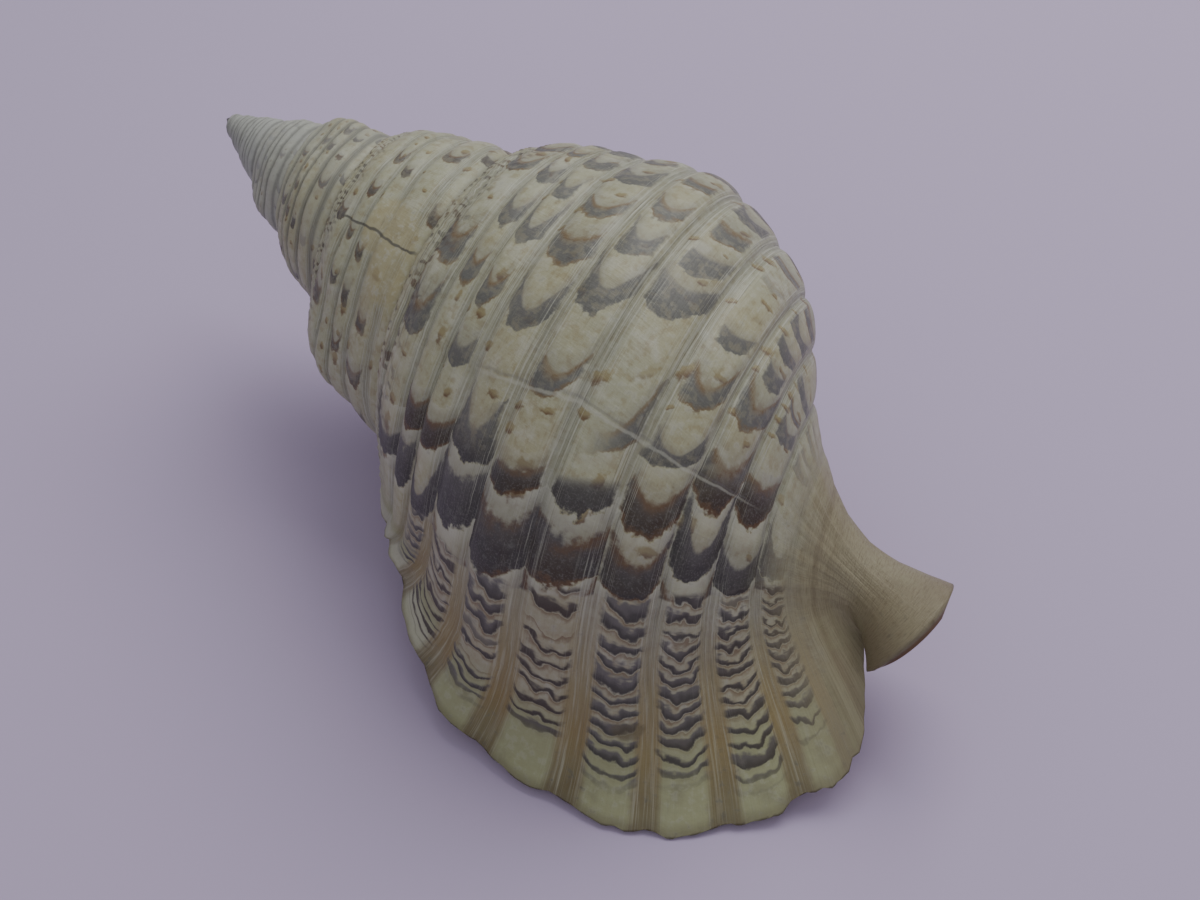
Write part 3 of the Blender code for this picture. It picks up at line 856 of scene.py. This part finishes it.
def bead_dashes_and_trough_shade(m):
    """Short brown marks between the beads under the seam, and grey lines of painted shade in the
    troughs between the bead rows.
    """
    row = m.count / BEAD_ROW
    shift = row.floor().math("MODULO", row.floor(), 2.0) * 0.5
    step = m.theta / BEAD_ANGLE + shift + (m.patch - 0.5) * 3.0 + (m.small - 0.5) * 1.2
    there, long, _ = m.base.chance(row.floor(), step.floor(), 9.0)
    shape = (abs(row.fract() - 0.5 + (m.small - 0.5) * 0.5).rise(0.46, 0.22)
             * step.fract().rise(0.30, 0.50) * (step.fract() + long * 0.2).rise(1.10, 0.85)
             * there.rise(0.30, 0.45))
    # painted shade: grey lines along the troughs between the rows of beads
    lines = abs(row.fract() - 0.5).rise(0.36, 0.48) * 0.5
    zone = m.v.rise(0.15, 0.4) * (m.v + (m.patch - 0.5) * 0.9).rise(1.75, 1.25)
    return (shape * m.patch.rise(0.32, 0.50)).most(lines) * zone


def thread_lines(m):
    """Pale threads in the groove between two cords."""
    off = 0.5 - m.side
    lines = (off * (TURN / THREAD_SPACING)).cosine().rise(0.0, 0.9)
    return lines * off.rise(0.26, 0.16) * m.spiral.rise(0.35, 0.65) * m.v.rise(0.5, 0.9)


def lip_colour(m, ground):
    """The spread lip: greenish cream on the cords, ochre and then olive in the grooves."""
    between = (m.side + (m.small - 0.5) * 0.09 + (m.patch - 0.5) * 0.08).rise(0.24, 0.36)
    ochre = m.colour(PALE_OCHRE).tinted(m.theta.rise(-0.40, -0.10) * 0.75, OCHRE)
    ochre = ochre.tinted(m.theta.rise(-0.18, -0.01) * 0.75, OLIVE)
    ochre = ochre.tinted(m.spiral.rise(0.46, 0.74) * 0.5, MILK)
    ochre = ochre.tinted(m.small.rise(0.56, 0.70) * m.theta.rise(-0.16, -0.02) * 0.6, SOOT)
    panel = ground.tinted(m.theta.rise(-0.30, -0.14) * 0.8, GREEN_CREAM)
    panel = panel.tinted(m.patch.rise(0.5, 0.72) * m.theta.rise(-0.2, -0.08) * 0.35, OLIVE)
    panel = panel.tinted(m.small.rise(0.5, 0.64) * m.theta.rise(-0.2, -0.08) * 0.18, MILK)
    panel = panel.tinted(m.theta.rise(-0.16, -0.08) * m.v.rise(3.9, 3.5) * 0.5, MILK)
    amount = between * m.theta.rise(-0.85, -0.30) * (0.6 + 0.4 * m.patch)
    colour = panel.tinted(amount * m.v.rise(2.2, 3.0) * m.v.rise(6.9, 6.4), ochre)
    return colour.tinted((m.theta + (m.small - 0.5) * 0.02).rise(-0.03, 0.0) * 0.55, OLIVE)


def neck_colour(m):
    """Neck and canal: fine brown and cream lines that run along the cords."""
    colour = m.colour(CANAL_CREAM)
    colour = colour.tinted(m.spiral.rise(0.40, 0.75) * 0.55, CANAL_BROWN)
    lines = (m.count * (TURN * 1.5)).cosine().rise(-0.2, 0.9)
    colour = colour.tinted(lines * m.v.rise(6.9, 6.3) * 0.28, CANAL_BROWN)
    colour = colour.tinted(m.v.rise(6.6, 7.4) * m.broad.rise(0.35, 0.65) * 0.45, CANAL_BROWN)
    return colour.tinted(m.patch.rise(0.55, 0.8) * 0.3, GREEN_CREAM)


def spot_at(m, theta, v, theta_size, v_size):
    """A soft ragged patch round one place: an ellipse of its two distances plus noise."""
    ragged = 0.6
    x = (m.theta - theta) / theta_size
    y = (m.v - v) / v_size
    away = (x * x + y * y) ** 0.5 + (m.small - 0.5) * ragged + (m.patch - 0.5) * ragged
    return away.rise(1.15, 0.75)


def scars(m, colour):
    """The healed break with a pale edge and a line of painted shadow beside its step, the crack and
    worn patch on the turn before, and a smudge.
    """
    seen = m.v.rise(3.0, 3.5) * m.v.rise(5.7, 5.3)
    off = m.healed + (m.patch - 0.5) * 0.05
    colour = colour.tinted(abs(off - 0.004).rise(0.010, 0.002) * seen * 0.45, MILK)
    # painted shadow: a purple-grey line beside the step of the healed break
    colour = colour.tinted(abs(off + 0.012).rise(0.008, 0.002) * seen * 0.3, PURPLE_GREY)
    crack = m.theta + 7.64 + (m.v - 1.85) * 0.04 + (m.patch - 0.5) * 0.10
    open_part = m.v.rise(1.5, 1.8) * m.v.rise(3.95, 3.8)
    worn = spot_at(m, -7.74, 3.25, 0.22, 0.6).most(spot_at(m, -7.48, 3.55, 0.16, 0.4))
    colour = colour.tinted(worn * 0.6, WARM_CREAM)
    colour = colour.tinted(worn * m.small.rise(0.5, 0.7) * 0.5, MILK)
    colour = colour.tinted(abs(crack).rise(0.013, 0.004) * open_part * 0.85, SOOT)
    return colour.tinted(spot_at(m, -0.25, 4.92, 0.035, 0.11) * 0.55, OLIVE)


def mouth_colour(m):
    """The hollow: salmon, paler by the lip, with brown bars between the teeth."""
    mouth = m.colour(SALMON).tinted(m.theta.rise(-1.2, -0.1) * 0.8, PORCELAIN)
    bars = m.side.rise(0.22, 0.30) * m.theta.rise(-0.36, -0.26)
    bars = bars * m.v.rise(1.6, 2.4) * m.v.rise(6.2, 5.8)
    stripe = (m.side * (TURN / TOOTH_AT)).cosine().rise(-0.6, 0.4)
    mouth = mouth.tinted(bars * stripe * 0.95, LIP_BROWN)
    return mouth.tinted(m.v.rise(6.6, 7.4) * 0.8, CANAL_BROWN)


def shell_finish():
    """Cream lime with garlands of dark marks, ochre lip, bleached tip and salmon mouth."""
    material = bpy.data.materials.new("shell_lime_worn")
    material.use_nodes = True
    tree = material.node_tree
    surface = tree.nodes["Principled BSDF"]
    m = Maps(tree)

    ground = ground_colour(m)
    b = blotches(m)
    clear = m.v.rise(6.2, 5.6) * m.v.rise(0.8, 1.2) * m.band.rise(9.05, 8.99)
    clear = clear * m.theta.rise(-30.0, -20.0)
    behind = b["lead"].fract().rise(0.30, 0.0) * b["near"]
    ground = ground.tinted(behind * clear * 0.5, MILK)
    bar, bar_zone, bar_depth, darkness = crescents(m)
    ground = ground.tinted(bar_zone * 0.30, LILAC_CREAM)
    ground = ground.tinted(bar_zone * bar_depth.rise(0.72, 1.0) * m.side.rise(0.4, 0.3) * 0.6, RUST)
    threads = thread_lines(m) * m.v.rise(6.0, 5.2) * (1.0 - m.theta.rise(-0.30, -0.12))
    ground = ground.tinted(threads * 0.65, MILK)
    colour = lip_colour(m, ground)
    fleck, fleck_front = flecks(m, b["lead"])
    colour = colour.tinted(fleck * clear * 0.85, m.colour(PALE_OCHRE).tinted(fleck_front, RUST))
    colour = colour.tinted(b["halo"] * clear * 0.35, PURPLE_GREY)
    colour = colour.tinted(b["mark"] * clear * 0.94, blotch_colour(m, b))
    bar_colour = m.colour(CHARCOAL).tinted(bar_depth.rise(0.15, 0.6) * 0.7, PURPLE_GREY)
    bar_colour = bar_colour.tinted((darkness + m.patch).rise(1.3, 0.7) * 0.6, DARK_BROWN)
    colour = colour.tinted(bar * 0.93, bar_colour)
    # short brown marks, and grey lines of painted shade between the bead rows
    bead_dash_and_trough_shade = bead_dashes_and_trough_shade(m) * m.theta.rise(-12.0, -8.0) * (1.0 - m.theta.rise(-0.3, -0.1))
    colour = colour.tinted(bead_dash_and_trough_shade * 0.75, m.colour(CHARCOAL).tinted(m.patch.rise(0.4, 0.7), RUST))
    streaks = m.base.join(m.theta * 3.0, m.count * 60.0).noise(1.0, 2.0, 0.5)
    on_back = m.v.rise(0.2, 0.6) * (1.0 - m.theta.rise(-0.8, -0.3) * 0.6)
    colour = colour.tinted(streaks.rise(0.53, 0.72) * m.side.rise(0.10, 0.42) * on_back * 0.55, MILK)
    colour = colour.tinted(streaks.rise(0.47, 0.28) * m.side.rise(0.15, 0.42) * on_back * 0.50, SOOT)
    colour = colour.tinted(m.v.rise(5.6, 6.5) * 0.95, neck_colour(m))
    colour = scars(m, colour)

    worn = (m.theta + (m.patch - 0.5) * 14.0 + (m.broad - 0.5) * 14.0).rise(-9.0, -28.0)
    colour = colour.tinted(worn * 0.85, TIP_GREY)
    grime = m.base.join(m.theta * 2.0, m.count * 2.0).noise(3.0, 5.0, 0.65)
    on_spire = m.theta.rise(-6.0, -8.0)
    colour = colour.tinted(grime.rise(0.60, 0.78) * (0.25 + on_spire * 0.3), SOOT)
    colour = colour.tinted(m.small.rise(0.60, 0.75) * 0.20, SOOT)
    # painted shade: the sutures between the spire's turns darkened
    seam = m.v.rise(0.16, 0.0).most(m.v.rise(3.86, 3.98)) * on_spire
    colour = colour.tinted(seam * 0.5, SOOT)
    # painted shade: the grooves between the cords on the older spire turns darkened
    spire_groove_shade = (m.side + (m.small - 0.5) * 0.2).rise(0.25, 0.46) * m.theta.rise(-9.0, -14.0)
    colour = colour.tinted(spire_groove_shade * 0.4, SOOT)
    colour = colour.tinted(m.inner.rise(0.45, 0.75), mouth_colour(m))

    tree.links.new(colour.socket, surface.inputs["Base Color"])
    outer = 1.0 - m.inner.rise(0.2, 0.8)
    rough = 0.40 + (m.small - 0.5) * 0.25 + worn * 0.2 + outer * 0.08
    tree.links.new(rough.socket, surface.inputs["Roughness"])
    height = (threads * 0.20 + m.spiral * 0.36 + m.growth * 0.30 + m.small * 0.34 + m.grain * 0.14
              - b["mark"] * clear * 0.06 + bar * 0.08)
    height = height * (0.2 + outer * 0.8)
    bump = m.base.node("ShaderNodeBump", None, {"Height": height, "Strength": 0.6, "Distance": 0.0007})
    tree.links.new(bump.socket, surface.inputs["Normal"])
    return material


def floor_finish():
    """Plain pale matt surface."""
    material = bpy.data.materials.new("pale_floor")
    material.use_nodes = True
    surface = material.node_tree.nodes["Principled BSDF"]
    surface.inputs["Base Color"].default_value = FLOOR_COLOUR
    surface.inputs["Roughness"].default_value = FLOOR_ROUGHNESS
    return material


def add_floor():
    """A large square under the shell."""
    half = FLOOR_HALF
    mesh = bpy.data.meshes.new("floor")
    mesh.from_pydata([(-half, -half, 0), (half, -half, 0), (half, half, 0), (-half, half, 0)],
                     [], [(0, 1, 2, 3)])
    mesh.materials.append(floor_finish())
    floor = bpy.data.objects.new("floor", mesh)
    bpy.context.scene.collection.objects.link(floor)


def add_light(name, size, power, place, target):
    """A square lamp at a place, turned to the target."""
    lamp = bpy.data.lights.new(name, "AREA")
    lamp.size = size
    lamp.energy = power
    holder = bpy.data.objects.new(name, lamp)
    holder.location = place
    holder.rotation_euler = (Vector(target) - Vector(place)).to_track_quat("-Z", "Y").to_euler()
    bpy.context.scene.collection.objects.link(holder)


def add_camera(stretch, shift):
    """The camera of the photograph, turned and shifted with the shell."""
    turn, height = CAMERA_TURN, CAMERA_HEIGHT
    back = np.array([math.sin(turn) * math.cos(height), -math.cos(turn) * math.cos(height),
                     math.sin(height)])
    right = np.array([math.cos(turn), math.sin(turn), 0.0])
    up = np.cross(back, right)
    c, s = math.cos(CAMERA_ROLL), math.sin(CAMERA_ROLL)
    axes = np.array([right * c + up * s, up * c - right * s, back])
    lie = lying()
    place = lie @ (np.array(CAMERA_TARGET) + CAMERA_DISTANCE * back)
    place = place * stretch + shift
    axes = axes @ lie.T
    matrix = Matrix.Identity(4)
    for k in range(3):
        matrix.col[k][:3] = axes[k]
    matrix.col[3][:3] = place
    camera = bpy.data.cameras.new("camera")
    camera.lens = LENS_MM
    camera.sensor_width = SENSOR_MM
    camera.clip_start = 0.01
    holder = bpy.data.objects.new("camera", camera)
    holder.matrix_world = matrix
    bpy.context.scene.collection.objects.link(holder)
    bpy.context.scene.camera = holder


def add_world():
    """Even, soft light from all round."""
    world = bpy.data.worlds.new("studio")
    world.use_nodes = True
    background = world.node_tree.nodes["Background"]
    background.inputs["Color"].default_value = WORLD_COLOUR
    background.inputs["Strength"].default_value = WORLD_STRENGTH
    bpy.context.scene.world = world


shell, STRETCH, SHIFT = build_shell()
shell.data.materials.append(shell_finish())
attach(shell, "root")
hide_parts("shell")
add_floor()
for lamp_values in LAMPS:
    add_light(*lamp_values, LAMP_TARGET)
add_world()
add_camera(STRETCH, SHIFT)
